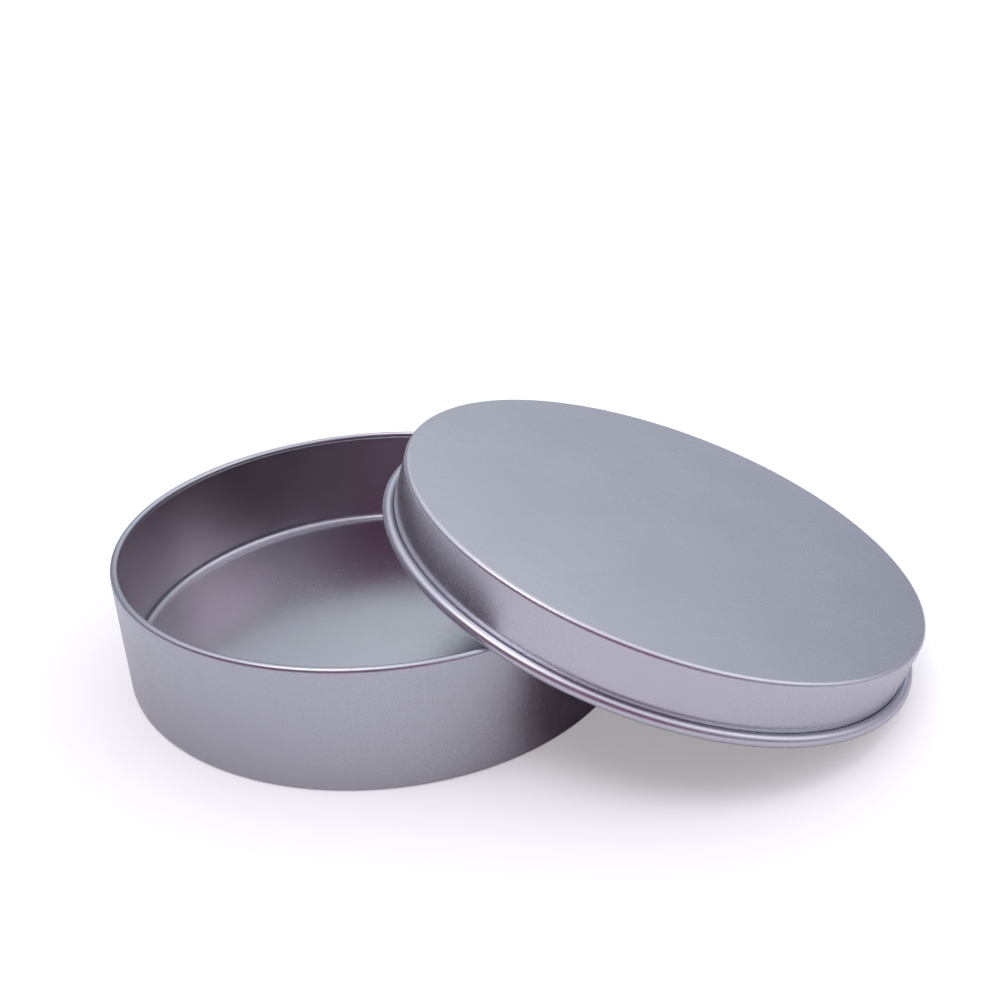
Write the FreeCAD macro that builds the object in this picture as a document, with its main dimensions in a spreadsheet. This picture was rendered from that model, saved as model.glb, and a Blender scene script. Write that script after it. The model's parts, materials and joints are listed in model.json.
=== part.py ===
import FreeCAD, Part

import math
import os

import Sketcher

# A round slip-lid candle tin, pressed from thin tinplate.  It has two separate
# pieces: tin_base, an open cup whose rim is rolled inward, and lid, a shallow cap
# whose lower edge is rolled outward.  The cup's floor is pressed up inside a narrow
# foot, so the tin stands on a ring under its wall.  The lid leans on the cup: its
# rolled bead stands on the table on one side and on the cup's rolled rim on the other.
#
# Frame: millimetres, +Z up, origin at the centre of the ring that the cup stands on,
# and +X from the cup's axis towards the lid, which leans down that way.

# Driving dimensions: lengths in millimetres, and how far each edge is rolled in degrees.
DIMENSIONS = {
    "sheet_thickness": 0.3,
    "base_radius": 50.0,
    "base_height": 23.45,
    "base_corner_radius": 0.6,
    "base_floor_radius": 1.5,
    "base_roll_radius": 0.72,
    "base_roll_turn": 270,
    "recess_depth": 0.85,
    "recess_round": 0.6,
    "foot_width": 0.3,
    "lid_radius": 50.85,
    "lid_height": 11.4,
    "lid_corner_radius": 0.75,
    "lid_roll_radius": 1.07,
    "lid_roll_turn": 310,
    "lean_offset": 52.6,
    "lean_gap": 0.02,
}

# Names of a sketch's own axes and origin, and of a curve's start, end and centre.
H_AXIS, V_AXIS = -1, -2
ORIGIN = (H_AXIS, 1)
START, END, CENTRE = 1, 2, 3

# The edges of a pressed cup's section, in order round the sheet.
(FLAT_OUT, CORNER_OUT, WALL_OUT, ROLL_A, RAW_EDGE,
 ROLL_B, WALL_IN, CORNER_IN, FLAT_IN, AXIS_EDGE) = range(10)

# The edges of the recess's section, from the axis out to the foot and back below it.
CEILING, SHOULDER, HEEL, SIDE, BELOW, MIDLINE = range(6)


def make_sheet(doc):
    """Put the driving dimensions in a spreadsheet, one aliased cell each."""
    sheet = doc.addObject("Spreadsheet::Sheet", "Dimensions")
    for row, (alias, value) in enumerate(DIMENSIONS.items(), start=1):
        sheet.set("A%d" % row, alias)
        sheet.set("B%d" % row, repr(value))
        sheet.setAlias("B%d" % row, alias)
    doc.recompute()
    return sheet


def origin_feature(body, role):
    """The body's own origin plane or axis with this role."""
    return next(item for item in body.Origin.OriginFeatures if item.Role == role)


def section_sketch(body, name):
    """An empty sketch on the body's XZ plane: a section to turn about its V axis."""
    sketch = body.newObject("Sketcher::SketchObject", name)
    sketch.AttachmentSupport = [(origin_feature(body, "XZ_Plane"), "")]
    sketch.MapMode = "FlatFace"
    return sketch


def line(x1, z1, x2, z2):
    return Part.LineSegment(FreeCAD.Vector(x1, z1, 0), FreeCAD.Vector(x2, z2, 0))


def arc(x, z, radius, start, sweep):
    """An anticlockwise arc, its start angle and sweep in degrees."""
    circle = Part.Circle(FreeCAD.Vector(x, z, 0), FreeCAD.Vector(0, 0, 1), radius)
    return Part.ArcOfCircle(circle, math.radians(start), math.radians(start + sweep))


def constrain(sketch, constraints):
    for constraint in constraints:
        sketch.addConstraint(Sketcher.Constraint(*constraint))


def dimension(sketch, name, expression, *constraint):
    """Add a named dimension and bind it to the spreadsheet."""
    index = sketch.addConstraint(Sketcher.Constraint(*constraint))
    sketch.renameConstraint(index, name)
    sketch.setExpression("Constraints." + name, expression)


def section_edges(radius, height, corner, inner_corner, roll, turn, thickness, floor, opens_up):
    """The piece's section, from its outer face's centre to its rolled edge and back.

    The flat face lies along X at height 0 and the wall stands at x = radius.  A cup
    that opens up rolls its edge inward, over the wall; one that opens down rolls it
    outward, under the wall.  turn is how far round the edge is rolled, in degrees.
    """
    side = 1 if opens_up else -1
    corner_x = radius - corner
    corner_start = 270 if opens_up else 0
    inner_radius = radius - thickness
    inner_x = inner_radius - inner_corner
    inner_z = side * (floor + inner_corner)
    roll_z = side * (height - roll)
    roll_x = radius - roll if opens_up else inner_radius + roll
    roll_start = 0 if opens_up else 180
    roll_a = roll if opens_up else roll - thickness
    roll_b = roll - thickness if opens_up else roll
    end = math.radians(roll_start + turn)
    end_x, end_z = math.cos(end), math.sin(end)
    return [
        line(0, 0, corner_x, 0),
        arc(corner_x, side * corner, corner, corner_start, 90),
        line(radius, side * corner, radius, roll_z),
        arc(roll_x, roll_z, roll_a, roll_start, turn),
        line(roll_x + roll_a * end_x, roll_z + roll_a * end_z,
             roll_x + roll_b * end_x, roll_z + roll_b * end_z),
        arc(roll_x, roll_z, roll_b, roll_start, turn),
        line(inner_radius, roll_z, inner_radius, inner_z),
        arc(inner_x, inner_z, inner_corner, corner_start, 90),
        line(inner_x, side * floor, 0, side * floor),
        line(0, side * floor, 0, 0),
    ]


def join_section(sketch, opens_up):
    """Join the section's edges end to end and keep them straight and tangent."""
    at_flat, at_wall = (START, END) if opens_up else (END, START)
    constrain(sketch, [
        ("Coincident", FLAT_OUT, START, *ORIGIN),
        ("Horizontal", FLAT_OUT),
        ("Tangent", FLAT_OUT, END, CORNER_OUT, at_flat),
        ("Tangent", CORNER_OUT, at_wall, WALL_OUT, START),
        ("Vertical", WALL_OUT),
        ("Tangent", WALL_OUT, END, ROLL_A, START),
        ("Coincident", ROLL_A, END, RAW_EDGE, START),
        ("Coincident", RAW_EDGE, END, ROLL_B, END),
        ("Tangent", ROLL_B, START, WALL_IN, START),
        ("Vertical", WALL_IN),
        ("Tangent", WALL_IN, END, CORNER_IN, at_wall),
        ("Tangent", CORNER_IN, at_flat, FLAT_IN, START),
        ("Horizontal", FLAT_IN),
        ("Coincident", FLAT_IN, END, AXIS_EDGE, START),
        ("Coincident", AXIS_EDGE, END, FLAT_OUT, START),
        ("Vertical", AXIS_EDGE),
        ("Coincident", ROLL_A, CENTRE, ROLL_B, CENTRE),
        ("PointOnObject", ROLL_A, CENTRE, RAW_EDGE),
    ])


def pressed_cup(doc, sheet, label, prefix, floor, inner_corner, opens_up):
    """A pressed cup: flat face, round corner, straight wall and rolled edge.

    floor and inner_corner are expressions: how thick the flat face is, and the
    radius of the corner inside the cup.
    """
    body = doc.addObject("PartDesign::Body", label)
    body.Label = label
    sketch = section_sketch(body, label + "_section")

    radius = getattr(sheet, prefix + "_radius")
    height = getattr(sheet, prefix + "_height")
    corner = getattr(sheet, prefix + "_corner_radius")
    roll = getattr(sheet, prefix + "_roll_radius")
    roll_turn = getattr(sheet, prefix + "_roll_turn")
    thickness = sheet.sheet_thickness
    floor_now = sheet.evalExpression(floor)
    inner_now = sheet.evalExpression(inner_corner)
    sketch.addGeometry(section_edges(radius, height, corner, inner_now, roll, roll_turn,
                                     thickness, floor_now, opens_up), False)
    join_section(sketch, opens_up)

    cell = "Dimensions." + prefix
    outer_roll = ROLL_A if opens_up else ROLL_B
    from_flat, to_roll = (ORIGIN, (ROLL_A, CENTRE)) if opens_up else ((ROLL_A, CENTRE), ORIGIN)
    dimension(sketch, "floor", floor,
              "Distance", AXIS_EDGE, floor_now)
    dimension(sketch, "thickness", "Dimensions.sheet_thickness",
              "Distance", RAW_EDGE, thickness)
    dimension(sketch, "wall", cell + "_radius",
              "DistanceX", *ORIGIN, WALL_OUT, START, radius)
    dimension(sketch, "corner", cell + "_corner_radius",
              "Radius", CORNER_OUT, corner)
    dimension(sketch, "inner_corner", inner_corner,
              "Radius", CORNER_IN, inner_now)
    dimension(sketch, "roll", cell + "_roll_radius",
              "Radius", outer_roll, roll)
    dimension(sketch, "roll_height", cell + "_height - " + cell + "_roll_radius",
              "DistanceY", *from_flat, *to_roll, height - roll)
    dimension(sketch, "roll_turn", "(" + cell + "_roll_turn - 180) * 1 deg",
              "Angle", RAW_EDGE, math.radians(roll_turn - 180))

    turn = body.newObject("PartDesign::Revolution", label + "_turned")
    turn.Profile = sketch
    turn.ReferenceAxis = (sketch, ["V_Axis"])
    turn.Angle = 360
    sketch.Visibility = False
    doc.recompute()
    return body


def recess_edges(depth, rounding, foot_x):
    """The hollow under the floor: a flat ceiling that rounds down to the foot.

    The shoulder and the heel are arcs of one radius, which meet part way down.  The
    section goes on below the foot, as deep again, so that nothing is left of the
    metal there.
    """
    rise = 2 * rounding - depth
    reach = math.sqrt(4 * rounding ** 2 - rise ** 2)
    lean = math.degrees(math.atan2(rise, reach))
    ceiling_x = foot_x - reach
    return [
        line(0, depth, ceiling_x, depth),
        arc(ceiling_x, depth - rounding, rounding, lean, 90 - lean),
        arc(foot_x, rounding, rounding, 180 + lean, 90 - lean),
        line(foot_x, 0, foot_x, -depth),
        line(foot_x, -depth, 0, -depth),
        line(0, -depth, 0, depth),
    ]


def press_recess(body, sheet):
    """Press the cup's floor up from below, which leaves it standing on a narrow foot."""
    sketch = section_sketch(body, "recess_section")
    foot_x = sheet.base_radius - sheet.base_corner_radius - sheet.foot_width
    sketch.addGeometry(recess_edges(sheet.recess_depth, sheet.recess_round, foot_x), False)
    constrain(sketch, [
        ("PointOnObject", CEILING, START, V_AXIS),
        ("Horizontal", CEILING),
        ("Tangent", CEILING, END, SHOULDER, END),
        ("Tangent", SHOULDER, START, HEEL, START),
        ("Coincident", HEEL, END, SIDE, START),
        ("PointOnObject", HEEL, CENTRE, SIDE),
        ("PointOnObject", HEEL, END, H_AXIS),
        ("Vertical", SIDE),
        ("Coincident", SIDE, END, BELOW, START),
        ("Horizontal", BELOW),
        ("Coincident", BELOW, END, MIDLINE, START),
        ("Coincident", MIDLINE, END, CEILING, START),
        ("Vertical", MIDLINE),
        ("Equal", SHOULDER, HEEL),
    ])
    dimension(sketch, "depth", "Dimensions.recess_depth",
              "DistanceY", *ORIGIN, CEILING, START, sheet.recess_depth)
    dimension(sketch, "rounding", "Dimensions.recess_round",
              "Radius", SHOULDER, sheet.recess_round)
    dimension(sketch, "foot",
              "Dimensions.base_radius - Dimensions.base_corner_radius - Dimensions.foot_width",
              "DistanceX", *ORIGIN, SIDE, START, foot_x)
    dimension(sketch, "below", "Dimensions.recess_depth",
              "DistanceY", SIDE, END, *ORIGIN, sheet.recess_depth)

    solid_volume = body.Shape.Volume
    cut = body.newObject("PartDesign::Groove", "recess")
    cut.Profile = sketch
    cut.ReferenceAxis = (sketch, ["V_Axis"])
    cut.Angle = 360
    sketch.Visibility = False
    body.Document.recompute()
    removed = solid_volume - body.Shape.Volume
    least = math.pi * (foot_x - 2 * sheet.recess_round) ** 2 * sheet.recess_depth
    if removed < least:
        raise RuntimeError("the recess took away only %.1f mm3" % removed)


def bead_clearance(sheet, angle):
    """How far the lid's bead stands above the cup's rolled rim at this lean.

    Both rolls are tubes round a circle.  The bead's circle is centred lean_offset
    from the cup's axis and is as low as its tube may go at this angle.  The result
    is the least distance between the circles, less both tube radii.  It is negative
    where the tubes would overlap or the bead would pass under the rim.
    """
    rim_radius = sheet.base_radius - sheet.base_roll_radius
    rim_height = sheet.base_height - sheet.base_roll_radius
    bead_radius = sheet.lid_radius - sheet.sheet_thickness + sheet.lid_roll_radius
    bead_height = bead_radius * math.sin(angle) + sheet.lid_roll_radius
    steps = 4000
    nearest = math.inf
    for step in range(steps + 1):
        turn = math.pi * step / steps
        x = sheet.lean_offset + bead_radius * math.cos(angle) * math.cos(turn)
        y = bead_radius * math.sin(turn)
        z = bead_height - bead_radius * math.sin(angle) * math.cos(turn)
        out = math.hypot(x, y) - rim_radius
        distance = math.copysign(math.hypot(out, z - rim_height), z - rim_height)
        if abs(distance) < abs(nearest):
            nearest = distance
    return nearest - sheet.base_roll_radius - sheet.lid_roll_radius


def lean_angle(sheet):
    """The lean, in radians, at which the bead comes to rest on the rim."""
    low, high = math.radians(12), math.radians(30)
    while high - low > 1e-7:
        middle = (low + high) / 2
        if bead_clearance(sheet, middle) > sheet.lean_gap:
            high = middle
        else:
            low = middle
    return high


def lid_placement(sheet):
    """Stand the lid on its bead, leaning back onto the cup's rim."""
    angle = lean_angle(sheet)
    bead_radius = sheet.lid_radius - sheet.sheet_thickness + sheet.lid_roll_radius
    turn = FreeCAD.Rotation(FreeCAD.Vector(0, 1, 0), math.degrees(angle))
    bead_height = bead_radius * math.sin(angle) + sheet.lid_roll_radius
    bead_centre = FreeCAD.Vector(sheet.lean_offset, 0, bead_height)
    bead_to_crown = FreeCAD.Vector(0, 0, sheet.lid_height - sheet.lid_roll_radius)
    crown_centre = bead_centre + turn.multVec(bead_to_crown)
    return FreeCAD.Placement(crown_centre, turn)


def check_document(doc):
    """Stop if anything failed to compute."""
    for item in doc.Objects:
        if "Invalid" in item.State or "Error" in item.State:
            raise RuntimeError("%s did not compute: %s" % (item.Label, item.State))
        if item.isDerivedFrom("Sketcher::SketchObject") and not item.FullyConstrained:
            raise RuntimeError("%s is not fully constrained" % item.Label)


def check_body(body):
    """Stop unless the body is one valid closed solid."""
    shape = body.Shape
    if shape.isNull() or not shape.isValid() or len(shape.Solids) != 1:
        raise RuntimeError("%s is not one valid solid" % body.Label)


def main():
    os.makedirs("parts", exist_ok=True)
    doc = FreeCAD.newDocument("candle_tin")
    sheet = make_sheet(doc)
    base = pressed_cup(doc, sheet, "tin_base", "base",
                       floor="Dimensions.recess_depth + Dimensions.sheet_thickness",
                       inner_corner="Dimensions.base_floor_radius",
                       opens_up=True)
    press_recess(base, sheet)
    lid = pressed_cup(doc, sheet, "lid", "lid",
                      floor="Dimensions.sheet_thickness",
                      inner_corner="Dimensions.lid_corner_radius - Dimensions.sheet_thickness",
                      opens_up=False)
    lid.Placement = lid_placement(sheet)
    doc.recompute()

    check_document(doc)
    for body in (base, lid):
        check_body(body)
    gap = base.Shape.distToShape(lid.Shape)[0]
    if not 0 < gap < 0.1:
        raise RuntimeError("the lid does not rest on the cup: gap %.3f mm" % gap)

    for body in (base, lid):
        body.Shape.exportStep("parts/%s.step" % body.Label)
        box = body.Shape.BoundBox
        print("%s: %.1f mm3, box %s" % (body.Label, body.Shape.Volume, box))
    print("lid crown centre %s, lean %.4f degrees, gap to cup %.3f mm" % (
        lid.Placement.Base, math.degrees(lean_angle(sheet)), gap))


main()
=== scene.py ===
"""Looks for the candle tin: a pressed cup with a rolled rim, and its slip lid leaning on it.

Both pieces are lathed from the section of their sheet, in satin tinplate. Lengths are in
metres, in the row's frame; patterns in the materials are in millimetres of each piece's own.
"""
import json
import math

import bpy
from mathutils import Matrix, Vector


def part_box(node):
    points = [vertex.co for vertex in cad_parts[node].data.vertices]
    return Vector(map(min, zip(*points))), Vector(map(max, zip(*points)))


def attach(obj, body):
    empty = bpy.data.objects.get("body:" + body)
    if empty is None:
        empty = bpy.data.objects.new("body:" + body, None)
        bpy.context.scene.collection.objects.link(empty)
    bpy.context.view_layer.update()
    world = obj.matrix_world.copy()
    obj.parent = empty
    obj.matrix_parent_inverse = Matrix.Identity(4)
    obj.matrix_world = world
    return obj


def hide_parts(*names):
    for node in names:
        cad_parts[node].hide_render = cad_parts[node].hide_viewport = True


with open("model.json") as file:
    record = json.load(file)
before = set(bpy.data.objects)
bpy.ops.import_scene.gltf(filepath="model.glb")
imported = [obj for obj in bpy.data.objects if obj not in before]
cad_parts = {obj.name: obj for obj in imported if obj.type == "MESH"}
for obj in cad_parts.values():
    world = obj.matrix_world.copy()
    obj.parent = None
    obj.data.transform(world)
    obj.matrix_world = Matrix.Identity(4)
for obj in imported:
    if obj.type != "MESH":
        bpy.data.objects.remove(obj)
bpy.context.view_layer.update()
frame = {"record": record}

MM = 0.001

# Sizes of the pressings: the sheet, its round corners, its rolled edges and the foot.
SHEET = 0.3 * MM
BASE_CORNER = 0.6 * MM
BASE_FLOOR_CORNER = 1.5 * MM
BASE_ROLL = 0.72 * MM
RECESS_DEPTH = 0.85 * MM
RECESS_ROUND = 0.6 * MM
FOOT_WIDTH = 0.3 * MM
LID_RADIUS = 50.85 * MM
LID_HEIGHT = 11.4 * MM
LID_CORNER = 0.75 * MM
LID_ROLL = 1.07 * MM

# How far each edge is rolled, in degrees. The lid's bead nearly meets its skirt again.
BASE_CURL = 270
LID_CURL = 310

# How finely each stretch of the section is cut, and the piece round its axis.
SEGMENTS = 320
FLAT_RINGS = 24
WALL_RINGS = 14
CORNER_RINGS = 12
ROLL_RINGS = 36
FOOT_RINGS = 2
HOLD = 0.12 * MM         # a ring this close to each end keeps the straight stretches straight
HOLD_MOST = 0.2          # of the stretch's length

# Pressed sheet is never quite flat: how far its flats and its walls wander.
FLAT_WANDER = 0.035 * MM
WALL_WANDER = 0.018 * MM


# ---------------------------------------------------------------- sections

class Section:
    """Points (r, z) round the sheet, each with the name of its zone."""

    def __init__(self):
        self.points = []
        self.zones = []
        self.sharp = []

    def run(self, start, end, rings, zone):
        """A straight stretch, with a ring close to each end that holds its shading."""
        (r0, z0), (r1, z1) = start, end
        hold = min(HOLD / math.hypot(r1 - r0, z1 - z0), HOLD_MOST)
        steps = [0.0, hold]
        steps += [hold + (1 - 2 * hold) * i / rings for i in range(1, rings)]
        steps += [1 - hold, 1.0]
        self.points += [(r0 + (r1 - r0) * t, z0 + (z1 - z0) * t) for t in steps]
        self.zones += [zone] * len(steps)

    def bend(self, centre, radius, start, sweep, rings, zone):
        """An arc, without its two end points. Angles in degrees."""
        r, z = centre
        angles = [math.radians(start + sweep * i / rings) for i in range(1, rings)]
        self.points += [(r + radius * math.cos(a), z + radius * math.sin(a)) for a in angles]
        self.zones += [zone] * len(angles)

    def edge(self, point, zone):
        """One corner of the sheet's raw edge."""
        self.sharp.append(len(self.points))
        self.points.append(point)
        self.zones.append(zone)


def rolled_edge(section, centre, way_out, way_back, start, sweep):
    """Round one side of the rolled sheet, over its raw edge, and back round the other side.

    way_out and way_back are the two sides' radii. start and sweep are in degrees.
    """
    r, z = centre
    end = math.radians(start + sweep)
    section.bend(centre, way_out, start, sweep, ROLL_RINGS, "roll")
    for radius in (way_out, way_back):
        section.edge((r + radius * math.cos(end), z + radius * math.sin(end)), "roll")
    section.bend(centre, way_back, start + sweep, -sweep, ROLL_RINGS, "roll")


def cup_section(radius, height):
    """The cup: floor pressed up inside a narrow foot, straight wall, rim rolled inward."""
    section = Section()
    inner = radius - SHEET
    floor_z = RECESS_DEPTH + SHEET
    foot_r = radius - BASE_CORNER - FOOT_WIDTH
    rise = 2 * RECESS_ROUND - RECESS_DEPTH
    reach = math.sqrt(4 * RECESS_ROUND ** 2 - rise ** 2)
    lean = math.degrees(math.atan2(rise, reach))
    ceiling_r = foot_r - reach
    roll_r, roll_z = radius - BASE_ROLL, height - BASE_ROLL
    inner_r, inner_z = inner - BASE_FLOOR_CORNER, floor_z + BASE_FLOOR_CORNER

    section.run((0, RECESS_DEPTH), (ceiling_r, RECESS_DEPTH), FLAT_RINGS, "under")
    section.bend((ceiling_r, RECESS_DEPTH - RECESS_ROUND), RECESS_ROUND,
                 90, lean - 90, CORNER_RINGS, "under")
    section.bend((foot_r, RECESS_ROUND), RECESS_ROUND,
                 180 + lean, 90 - lean, CORNER_RINGS, "foot")
    section.run((foot_r, 0), (radius - BASE_CORNER, 0), FOOT_RINGS, "foot")
    section.bend((radius - BASE_CORNER, BASE_CORNER), BASE_CORNER, -90, 90, CORNER_RINGS, "foot")
    section.run((radius, BASE_CORNER), (radius, roll_z), WALL_RINGS, "wall")
    rolled_edge(section, (roll_r, roll_z), BASE_ROLL, BASE_ROLL - SHEET, 0, BASE_CURL)
    section.run((inner, roll_z), (inner, inner_z), WALL_RINGS, "inner_wall")
    section.bend((inner_r, inner_z), BASE_FLOOR_CORNER, 0, -90, CORNER_RINGS, "inner_corner")
    section.run((inner_r, floor_z), (0, floor_z), FLAT_RINGS, "floor")
    return section


def lid_section():
    """The lid: flat crown at height 0, skirt hanging from it, edge rolled outward."""
    section = Section()
    inner = LID_RADIUS - SHEET
    flat_r = LID_RADIUS - LID_CORNER
    roll_r, roll_z = inner + LID_ROLL, LID_ROLL - LID_HEIGHT

    section.run((0, 0), (flat_r, 0), FLAT_RINGS, "crown")
    section.bend((flat_r, -LID_CORNER), LID_CORNER, 90, -90, CORNER_RINGS, "shoulder")
    section.run((LID_RADIUS, -LID_CORNER), (LID_RADIUS, roll_z), WALL_RINGS, "wall")
    rolled_edge(section, (roll_r, roll_z), LID_ROLL - SHEET, LID_ROLL, 180, LID_CURL)
    section.run((inner, roll_z), (inner, -LID_CORNER), WALL_RINGS, "inner_wall")
    section.bend((flat_r, -LID_CORNER), LID_CORNER - SHEET, 0, 90, CORNER_RINGS, "inner_corner")
    section.run((flat_r, -SHEET), (0, -SHEET), FLAT_RINGS, "ceiling")
    return section


# How flat, upright, rubbed and inside each zone is: the patterns of the material follow them, and
# the walls inside take a painted shade tint.
ZONES = {
    "under": (1.0, 0.0, 0.25, 0.0),
    "foot": (0.0, 0.0, 1.0, 0.0),
    "wall": (0.0, 1.0, 0.15, 0.0),
    "roll": (0.0, 0.0, 0.8, 0.0),
    "inner_wall": (0.0, 1.0, 0.0, 1.0),
    "inner_corner": (0.0, 0.0, 0.8, 0.0),
    "floor": (1.0, 0.0, 0.0, 0.0),
    "crown": (1.0, 0.0, 0.1, 0.0),
    "shoulder": (0.0, 0.0, 1.0, 0.0),
    "ceiling": (1.0, 0.0, 0.0, 0.0),
}


# ---------------------------------------------------------------- lathe

# The slow waves in a pressed sheet: size, radians per millimetre along X and Y, how much
# the piece's seed moves them, and where they start. Lobes round the edge come on top.
WAVES = [
    (1.0, 0.110, 0.065, 1.3, 0.0),
    (1.0, -0.060, 0.135, 2.1, 1.0),
    (0.6, 0.190, -0.105, 0.7, 2.0),
]
LOBES = 3
LOBE_SIZE = 0.6
LOBE_RADIUS = 50 * MM
WALL_SEED = 5            # so that walls don't repeat the waves of the flats


def wander(r, turn, seed):
    """A slow, smooth unevenness between -1 and 1 across a pressed sheet."""
    x, y = r / MM * math.cos(turn), r / MM * math.sin(turn)
    waves = sum(size * math.sin(across * x + along * y + drift * seed + start)
                for size, across, along, drift, start in WAVES)
    waves += LOBE_SIZE * math.sin(LOBES * turn + seed) * (r / LOBE_RADIUS) ** 2
    return waves / (LOBE_SIZE + sum(wave[0] for wave in WAVES))


def bow(r, z, turn, zone, section_radius, seed):
    """Where the sheet really is: its flats bow along Z and its walls along the radius."""
    flat, wall = ZONES[zone][:2]
    if flat:
        fade = 1 - (r / section_radius) ** 4
        return r, z + FLAT_WANDER * fade * wander(r, turn, seed)
    if wall:
        return r + WALL_WANDER * wander(r, turn, seed + WALL_SEED), z
    return r, z


def lathe(name, section, radius, outward, place, seed):
    """A closed solid of revolution in the row's frame, with its own coordinates kept on it.

    Only the first and the last point of the section lie on the axis. radius is where the
    flats meet the walls. outward is False where the section runs the other way round, so
    that every face still looks out.
    """
    first, rings, last = section.points[0], section.points[1:-1], section.points[-1]
    turns = [2 * math.pi * i / SEGMENTS for i in range(SEGMENTS)]
    verts = [(0, 0, first[1])]
    vert_zones = [section.zones[0]]
    for (r, z), zone in zip(rings, section.zones[1:-1]):
        for turn in turns:
            bowed_r, bowed_z = bow(r, z, turn, zone, radius, seed)
            verts.append((bowed_r * math.cos(turn), bowed_r * math.sin(turn), bowed_z))
        vert_zones += [zone] * SEGMENTS
    verts.append((0, 0, last[1]))
    vert_zones.append(section.zones[-1])
    tip = len(verts) - 1
    for centre in (0, tip):
        verts[centre] = (0, 0, verts[centre][2] + FLAT_WANDER * wander(0, 0, seed))

    def vert(ring, segment):
        return 1 + ring * SEGMENTS + segment % SEGMENTS

    faces = []
    for s in range(SEGMENTS):
        faces.append((0, vert(0, s + 1), vert(0, s)))
        faces.append((tip, vert(len(rings) - 1, s), vert(len(rings) - 1, s + 1)))
        for ring in range(len(rings) - 1):
            faces.append((vert(ring, s), vert(ring, s + 1),
                          vert(ring + 1, s + 1), vert(ring + 1, s)))
    if not outward:
        faces = [tuple(reversed(face)) for face in faces]
    mesh = bpy.data.meshes.new(name)
    mesh.from_pydata(verts, [], faces)
    mesh.polygons.foreach_set("use_smooth", [True] * len(mesh.polygons))

    sharp_rings = {index - 1 for index in section.sharp}
    for edge in mesh.edges:
        a, b = ((v - 1) // SEGMENTS for v in edge.vertices)
        if a == b and a in sharp_rings:
            edge.use_edge_sharp = True

    for kept, kind in (("own_mm", "FLOAT_VECTOR"), ("zone", "FLOAT_VECTOR"), ("inside", "FLOAT")):
        mesh.attributes.new(kept, kind, "POINT")
    own = [c / MM for vertex in verts for c in vertex]
    shares = [share for zone in vert_zones for share in ZONES[zone][:3]]
    inside = [ZONES[zone][3] for zone in vert_zones]
    mesh.attributes["own_mm"].data.foreach_set("vector", own)
    mesh.attributes["zone"].data.foreach_set("vector", shares)
    mesh.attributes["inside"].data.foreach_set("value", inside)
    mesh.transform(place)
    mesh.update()
    piece = bpy.data.objects.new(name, mesh)
    bpy.context.scene.collection.objects.link(piece)
    return piece


# ---------------------------------------------------------------- materials

# The tinplate's patterns, as features per millimetre of the piece: one number where they
# are alike all round, or one along each axis.
CLOUDS = 0.05
STAINS = 0.10
MOTTLE = 0.7
NICKS = 0.9
SAND = 2.4
GRAIN = (0.12, 4.0, 1.0)
DRAW_LINES = (1.6, 1.6, 0.06)
# The scratches run two ways: each turn is in degrees, and comes before its pattern.
SCRATCHES = [(37, (0.11, 7.0, 0.5)), (-64, (0.14, 6.0, 0.5))]

# Height in millimetres and strength of each pattern's relief.
LINE_RELIEF = (0.006, 0.18)
SAND_RELIEF = (0.006, 0.08)
MOTTLE_RELIEF = (0.015, 0.04)

# Tones of the tinplate beside its own dark and light, as a share of them.
DARKER, BRIGHTER, DULLER = 0.90, 1.06, 0.95

# The floor's patterns, as features per metre.
FIBRES = 900.0
PATCHES = 6.0
FIBRE_RELIEF = (0.05, 0.15)


def toned(colour, share):
    """The colour made darker or brighter by this share."""
    return tuple(share * c for c in colour[:3]) + (1.0,)


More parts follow.
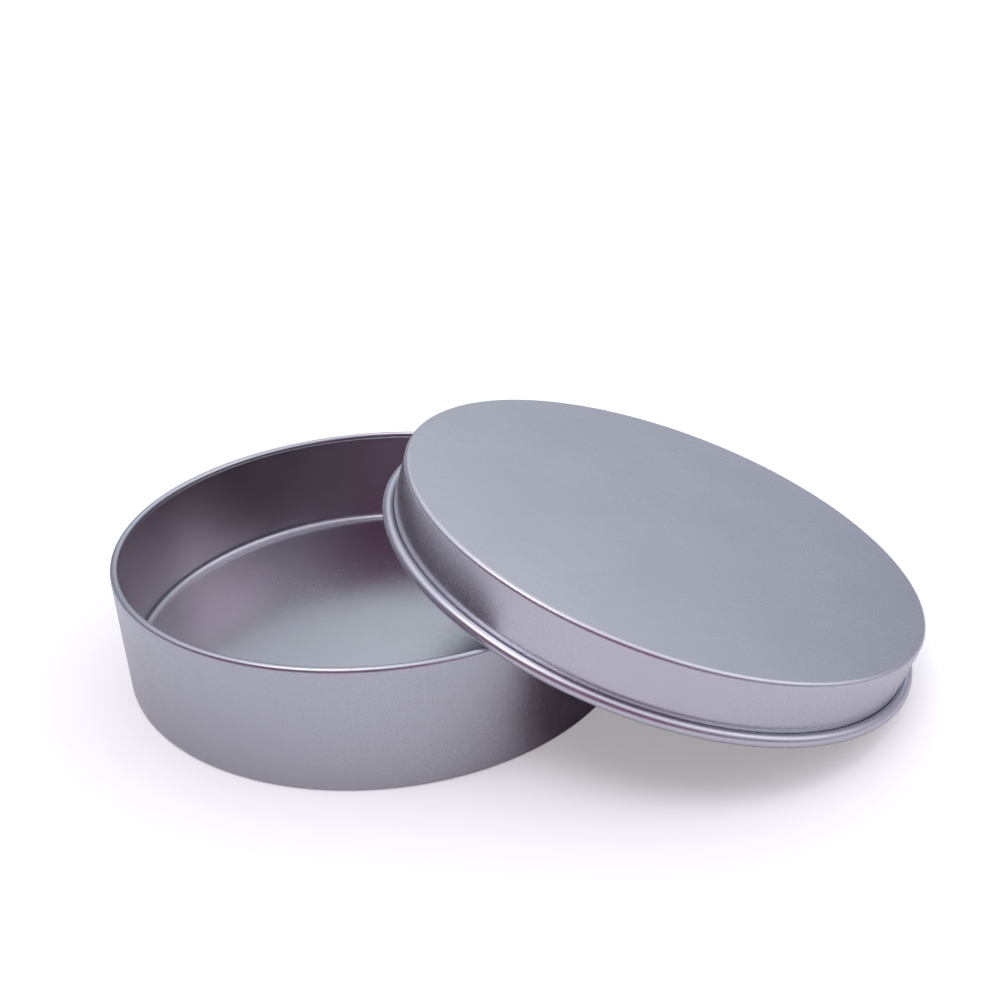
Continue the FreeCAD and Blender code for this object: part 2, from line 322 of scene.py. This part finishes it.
class Graph:
    """A material's node tree, with short calls for the nodes that the patterns need."""

    def __init__(self, name):
        self.material = bpy.data.materials.new(name)
        self.material.use_nodes = True
        self.tree = self.material.node_tree
        self.tree.nodes.clear()
        out = self.node("ShaderNodeOutputMaterial")
        self.surface = self.node("ShaderNodeBsdfPrincipled")
        self.join(self.surface.outputs["BSDF"], out.inputs["Surface"])

    def node(self, kind, **settings):
        node = self.tree.nodes.new(kind)
        for key, value in settings.items():
            setattr(node, key, value)
        return node

    def join(self, source, target):
        """Feed an input from another node's output, or set it to a plain value."""
        if hasattr(source, "is_linked"):
            self.tree.links.new(source, target)
        else:
            target.default_value = source

    def attribute(self, name, kind="Vector"):
        return self.node("ShaderNodeAttribute", attribute_name=name).outputs[kind]

    def math(self, operation, a, b=0.0):
        node = self.node("ShaderNodeMath", operation=operation)
        self.join(a, node.inputs[0])
        self.join(b, node.inputs[1])
        return node.outputs[0]

    def split(self, vector):
        node = self.node("ShaderNodeSeparateXYZ")
        self.join(vector, node.inputs[0])
        return node.outputs

    def turned(self, vector, degrees):
        """The vector turned about Z, for a pattern that runs another way."""
        node = self.node("ShaderNodeVectorRotate", rotation_type="Z_AXIS")
        self.join(vector, node.inputs["Vector"])
        node.inputs["Angle"].default_value = math.radians(degrees)
        return node.outputs[0]

    def noise(self, vector, density, detail=3.0, roughness=0.55):
        """Noise with this many features per unit, all round or along each axis."""
        if isinstance(density, float):
            density = (density, density, density)
        scaled = self.node("ShaderNodeVectorMath", operation="MULTIPLY")
        self.join(vector, scaled.inputs[0])
        scaled.inputs[1].default_value = density
        noise = self.node("ShaderNodeTexNoise")
        self.join(scaled.outputs[0], noise.inputs["Vector"])
        noise.inputs["Scale"].default_value = 1.0
        noise.inputs["Detail"].default_value = detail
        noise.inputs["Roughness"].default_value = roughness
        return noise.outputs["Fac"]

    def fit(self, value, low, high, to_low, to_high):
        """Map low..high to to_low..to_high, clamped."""
        node = self.node("ShaderNodeMapRange")
        self.join(value, node.inputs["Value"])
        node.inputs["From Min"].default_value = low
        node.inputs["From Max"].default_value = high
        node.inputs["To Min"].default_value = to_low
        node.inputs["To Max"].default_value = to_high
        return node.outputs["Result"]

    def blend(self, amount, a, b):
        """Colour a where amount is 0 and b where it is 1."""
        node = self.node("ShaderNodeMix", data_type="RGBA")
        self.join(amount, node.inputs["Factor"])
        self.join(a, node.inputs["A"])
        self.join(b, node.inputs["B"])
        return node.outputs["Result"]

    def bump(self, height, relief, under=None):
        """Relief laid over any that is given as under."""
        distance_mm, strength = relief
        node = self.node("ShaderNodeBump")
        self.join(height, node.inputs["Height"])
        node.inputs["Distance"].default_value = distance_mm * MM
        node.inputs["Strength"].default_value = strength
        if under is not None:
            self.join(under, node.inputs["Normal"])
        return node.outputs["Normal"]


def tinplate(name, dark, light, inside_shade_tint, grain_turn, roughness):
    """Satin tinplate: rolling grain on the flats, draw lines up the walls, rubbed edges.

    dark and light are the ends of its slow colour clouding, and the next colour is painted
    shade: a purple tint for the dark room reflected on the walls inside. grain_turn is the
    way the sheet's rolling grain runs, in degrees from the piece's own X.
    """
    g = Graph(name)
    own = g.attribute("own_mm")
    flat, wall, worn = g.split(g.attribute("zone"))
    along = g.turned(own, grain_turn)

    clouds = g.noise(own, CLOUDS, detail=4.0)
    mottle = g.noise(own, MOTTLE)
    sand = g.noise(own, SAND, roughness=0.6)
    grain = g.noise(along, GRAIN, roughness=0.6)
    draw = g.noise(own, DRAW_LINES)
    scratches = 0.0
    for turn, density in SCRATCHES:
        scratch = g.noise(g.turned(own, turn), density, detail=1.0)
        scratches = g.math("MAXIMUM", g.fit(scratch, 0.68, 0.82, 0.0, 0.4), scratches)
    scratches = g.math("MULTIPLY", scratches, flat)

    draw = g.fit(draw, 0.0, 1.0, 0.32, 0.68)
    lines = g.math("ADD", g.math("MULTIPLY", grain, flat), g.math("MULTIPLY", draw, wall))
    even = g.math("MULTIPLY", g.math("SUBTRACT", 1.0, g.math("ADD", flat, wall)), 0.5)
    lines = g.math("ADD", lines, even)

    nicks = g.fit(g.noise(own, NICKS), 0.50, 0.75, 0.0, 1.0)
    rubbed = g.math("MULTIPLY", worn, g.fit(nicks, 0.0, 1.0, 1.0, 0.45))

    shade = g.fit(clouds, 0.3, 0.7, 0.0, 1.0)
    colour = g.blend(shade, dark, light)
    line_tone = g.fit(lines, 0.25, 0.75, 0.0, 1.0)
    darker = toned(dark, DARKER)
    colour = g.blend(g.math("MULTIPLY", g.math("SUBTRACT", 1.0, line_tone), 0.35), colour, darker)
    colour = g.blend(g.math("MULTIPLY", rubbed, 0.7), colour, toned(light, BRIGHTER))
    stains = g.fit(g.noise(own, STAINS, detail=2.0), 0.55, 0.75, 0.0, 0.35)
    colour = g.blend(stains, colour, darker)
    colour = g.blend(g.fit(sand, 0.35, 0.65, 0.30, 0.0), colour, darker)
    # Painted shade: the walls inside take a purple tint that stands for the dark room reflected
    # in them, clouded like the rest of the sheet.
    inside = g.attribute("inside", "Fac")
    colour = g.blend(inside, colour, g.blend(shade, toned(inside_shade_tint, DULLER), inside_shade_tint))
    g.join(colour, g.surface.inputs["Base Color"])

    gloss = g.fit(clouds, 0.3, 0.7, roughness - 0.02, roughness + 0.03)
    gloss = g.math("ADD", gloss, g.fit(lines, 0.2, 0.8, -0.035, 0.035))
    gloss = g.math("ADD", gloss, g.fit(mottle, 0.3, 0.7, -0.012, 0.012))
    gloss = g.math("ADD", gloss, g.fit(sand, 0.35, 0.65, -0.02, 0.02))
    gloss = g.math("ADD", gloss, g.math("MULTIPLY", worn, 0.17))
    gloss = g.math("SUBTRACT", gloss, g.math("MULTIPLY", rubbed, 0.03))
    gloss = g.math("SUBTRACT", gloss, g.math("MULTIPLY", scratches, 0.04))
    gloss = g.math("ADD", gloss, g.math("MULTIPLY", inside, 0.12))
    g.join(gloss, g.surface.inputs["Roughness"])

    relief = g.bump(lines, LINE_RELIEF)
    relief = g.bump(sand, SAND_RELIEF, under=relief)
    relief = g.bump(mottle, MOTTLE_RELIEF, under=relief)
    g.join(relief, g.surface.inputs["Normal"])
    g.surface.inputs["Metallic"].default_value = 1.0
    return g.material


def paper(name):
    """The pale matt floor: fine fibres and a very slight unevenness of tone."""
    g = Graph(name)
    place = g.node("ShaderNodeTexCoord").outputs["Object"]
    fibres = g.noise(place, FIBRES, detail=4.0, roughness=0.6)
    patches = g.noise(place, PATCHES, detail=2.0)
    tone = g.math("ADD", g.fit(fibres, 0.3, 0.7, 0.0, 0.5), g.fit(patches, 0.3, 0.7, 0.0, 0.5))
    g.join(g.blend(tone, FLOOR_DARK, FLOOR_LIGHT), g.surface.inputs["Base Color"])
    g.join(g.fit(fibres, 0.3, 0.7, 0.85, 0.95), g.surface.inputs["Roughness"])
    g.surface.inputs["Specular IOR Level"].default_value = 0.1
    g.join(g.bump(fibres, FIBRE_RELIEF), g.surface.inputs["Normal"])
    seen = g.node("ShaderNodeLightPath").outputs["Is Camera Ray"]
    g.surface.inputs["Emission Color"].default_value = (1.0, 1.0, 1.0, 1.0)
    g.join(g.math("MULTIPLY", seen, FLOOR_GLOW), g.surface.inputs["Emission Strength"])
    return g.material


# ---------------------------------------------------------------- the two pieces

def lid_place():
    """The lid's crown and axis come from the record's lid_top mount."""
    mount = next(m for m in frame["record"]["mounts"] if m["name"] == "lid_top")
    turn = Vector((0, 0, 1)).rotation_difference(Vector(mount["axis"]))
    return Matrix.Translation(Vector(mount["pos_m"])) @ turn.to_matrix().to_4x4()


base_low, base_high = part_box("tin_base")
BASE_RADIUS = (base_high.x - base_low.x) / 2
BASE_HEIGHT = base_high.z - base_low.z

ROUGHNESS = 0.23
CUP_GRAIN_TURN, LID_GRAIN_TURN = 24, -12
CUP_DARK, CUP_LIGHT = (0.495, 0.506, 0.542, 1.0), (0.525, 0.538, 0.574, 1.0)
LID_DARK, LID_LIGHT = (0.570, 0.568, 0.618, 1.0), (0.600, 0.602, 0.653, 1.0)
# Painted shade: the purple tint of the walls inside, standing for the dark room reflected there.
INSIDE_SHADE_TINT = (0.605, 0.525, 0.580, 1.0)
FLOOR_DARK, FLOOR_LIGHT = (0.86, 0.865, 0.87, 1.0), (0.89, 0.895, 0.90, 1.0)

cup = lathe("tin_cup", cup_section(BASE_RADIUS, BASE_HEIGHT), BASE_RADIUS,
            True, Matrix.Identity(4), seed=1.0)
cup.data.materials.append(tinplate("cup_tinplate", CUP_DARK, CUP_LIGHT, INSIDE_SHADE_TINT,
                                   CUP_GRAIN_TURN, ROUGHNESS))
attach(cup, "tin_base")
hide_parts("tin_base")

cap = lathe("slip_lid", lid_section(), LID_RADIUS,
            False, lid_place(), seed=2.0)
cap.data.materials.append(tinplate("lid_tinplate", LID_DARK, LID_LIGHT, INSIDE_SHADE_TINT,
                                   LID_GRAIN_TURN, ROUGHNESS))
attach(cap, "lid")
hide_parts("lid")


# ---------------------------------------------------------------- floor, light, camera

# The studio's light from each height above the horizon, as the sine of that height.
SKY_STRENGTH = 1.78
SKY = {
    0.0: (0.100, 0.100, 0.170),
    0.3: (0.130, 0.125, 0.160),
    0.5: (0.275, 0.290, 0.315),
    0.72: (0.570, 0.560, 0.630),
    1.0: (0.560, 0.550, 0.620),
}
# The dark side of the room, past the camera: its direction, colour, and the cosines
# where it begins to darken and where it is darkest.
ROOM_SIDE = (251, 12)
ROOM_COLOUR = (0.115, 0.045, 0.085, 1.0)
ROOM_EDGE = (0.49, 0.60)
# Soft lamps: direction, colour, and the cosines of their outer and inner edge.
LAMPS = [
    ((78, 24), (0.17, 0.19, 0.19), (0.78, 0.995)),
    ((8, 34), (0.42, 0.40, 0.42), (0.87, 0.985)),
    ((215, 72), (1.72, 1.75, 1.80), (0.942, 0.992)),
]
BACKDROP = (1.0, 1.0, 1.0, 1.0)
FLOOR_GLOW = 0.32        # seen by the camera alone, so that the floor looks white
FLOOR_RADIUS = 8.0

bpy.ops.mesh.primitive_circle_add(vertices=128, radius=FLOOR_RADIUS, fill_type="NGON")
floor = bpy.context.object
floor.name = "floor"
floor.data.materials.append(paper("floor_paper"))


def heading(azimuth, elevation):
    """The unit vector toward an azimuth from +X and an elevation, in degrees."""
    turn, rise = math.radians(azimuth), math.radians(elevation)
    level = math.cos(rise)
    return Vector((level * math.cos(turn), level * math.sin(turn), math.sin(rise)))


def studio_world():
    """A studio: light grows with height, one side of the room is dark, soft lamps help."""
    world = bpy.data.worlds.new("studio")
    bpy.context.scene.world = world
    world.use_nodes = True
    tree = world.node_tree
    tree.nodes.clear()
    new, link = tree.nodes.new, tree.links.new
    direction = new("ShaderNodeTexCoord").outputs["Generated"]

    def toward(place, edges):
        """From 0 to 1 as a direction comes nearer to the place, between the two cosines."""
        dot = new("ShaderNodeVectorMath")
        dot.operation = "DOT_PRODUCT"
        dot.inputs[1].default_value = heading(*place)
        link(direction, dot.inputs[0])
        near = new("ShaderNodeMapRange")
        near.interpolation_type = "SMOOTHSTEP"
        near.inputs["From Min"].default_value, near.inputs["From Max"].default_value = edges
        link(dot.outputs["Value"], near.inputs["Value"])
        return near.outputs["Result"]

    split = new("ShaderNodeSeparateXYZ")
    link(direction, split.inputs[0])
    sky = new("ShaderNodeValToRGB")
    link(split.outputs["Z"], sky.inputs["Fac"])
    stops = sky.color_ramp.elements
    while len(stops) < len(SKY):
        stops.new(0.5)
    for stop, (height, colour) in zip(stops, SKY.items()):
        stop.position = height
        stop.color = (*colour, 1.0)

    room = new("ShaderNodeMix")
    room.data_type = "RGBA"
    link(toward(ROOM_SIDE, ROOM_EDGE), room.inputs["Factor"])
    link(sky.outputs["Color"], room.inputs["A"])
    room.inputs["B"].default_value = ROOM_COLOUR
    lit = room.outputs["Result"]
    for place, colour, edges in LAMPS:
        lamp = new("ShaderNodeMix")
        lamp.data_type = "RGBA"
        lamp.blend_type = "ADD"
        link(toward(place, edges), lamp.inputs["Factor"])
        link(lit, lamp.inputs["A"])
        lamp.inputs["B"].default_value = (*colour, 1.0)
        lit = lamp.outputs["Result"]

    light = new("ShaderNodeBackground")
    light.inputs["Strength"].default_value = SKY_STRENGTH
    link(lit, light.inputs["Color"])
    backdrop = new("ShaderNodeBackground")
    backdrop.inputs["Color"].default_value = BACKDROP
    pick = new("ShaderNodeMixShader")
    link(new("ShaderNodeLightPath").outputs["Is Camera Ray"], pick.inputs["Fac"])
    link(light.outputs["Background"], pick.inputs[1])
    link(backdrop.outputs["Background"], pick.inputs[2])
    out = new("ShaderNodeOutputWorld")
    link(pick.outputs["Shader"], out.inputs["Surface"])


studio_world()

CAMERA_AT = Vector((37.0, -176.7, 111.95)) * MM
CAMERA_AIM = Vector((19.6, 61.0, 0.0)) * MM
CAMERA_ROLL = math.radians(-1.39)
CAMERA_LENS = 36.65
CAMERA_SENSOR = 36

camera_data = bpy.data.cameras.new("camera")
camera_data.lens = CAMERA_LENS
camera_data.sensor_width = CAMERA_SENSOR
camera_data.clip_start = 0.01
camera_data.clip_end = 50
camera = bpy.data.objects.new("camera", camera_data)
bpy.context.scene.collection.objects.link(camera)
look = (CAMERA_AIM - CAMERA_AT).to_track_quat("-Z", "Y").to_matrix()
camera.matrix_world = (Matrix.Translation(CAMERA_AT) @ look.to_4x4()
                       @ Matrix.Rotation(CAMERA_ROLL, 4, "Z"))
bpy.context.scene.camera = camera
bpy.context.scene.view_settings.view_transform = "Standard"
